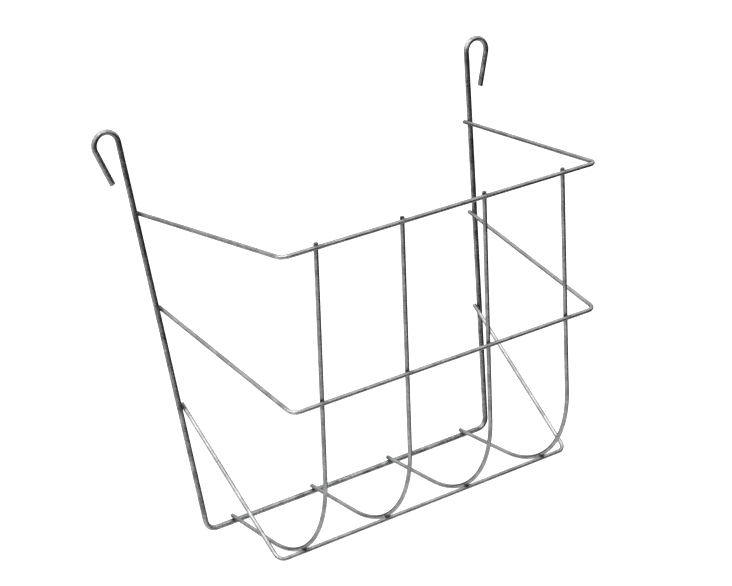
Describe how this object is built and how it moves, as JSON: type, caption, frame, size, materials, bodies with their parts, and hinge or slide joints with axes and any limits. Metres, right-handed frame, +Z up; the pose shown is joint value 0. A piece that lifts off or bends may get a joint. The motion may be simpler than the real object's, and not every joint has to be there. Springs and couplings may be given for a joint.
{
  "type": "hay rack feeder",
  "caption": "Open wire basket that holds hay for small animals, with a curved ribbed front and two hooks for hanging on a cage wall.",
  "frame": {"origin": "midway between the two hooks, level with the crowns of their inner curves, where they bear on the wall's wire", "axes": "+X across the rack to the right as seen from in front, -Y out from the wall to the rack's front, +Z up"},
  "size_m": [0.3298, 0.1768, 0.3125],
  "materials": {
    "frame_wire": "zinc-coated 4 mm wire, bright with darker drawn streaks",
    "thin_wire": "zinc-coated 3 mm wire, bright",
    "weld": "dull grey weld bead"
  },
  "bodies": {
    "root": {"back_frame": "frame_wire", "top_hoop": "thin_wire", "middle_hoop": "thin_wire", "lower_hoop": "thin_wire", "rib_1": "thin_wire", "rib_2": "thin_wire", "rib_3": "thin_wire", "rib_4": "thin_wire", "top_hoop_end_welds": "weld", "middle_hoop_end_welds": "weld", "lower_hoop_end_welds": "weld", "top_rib_welds": "weld", "middle_rib_welds": "weld", "lower_rib_welds": "weld", "rear_rib_welds": "weld"}
  },
  "joints": []
}
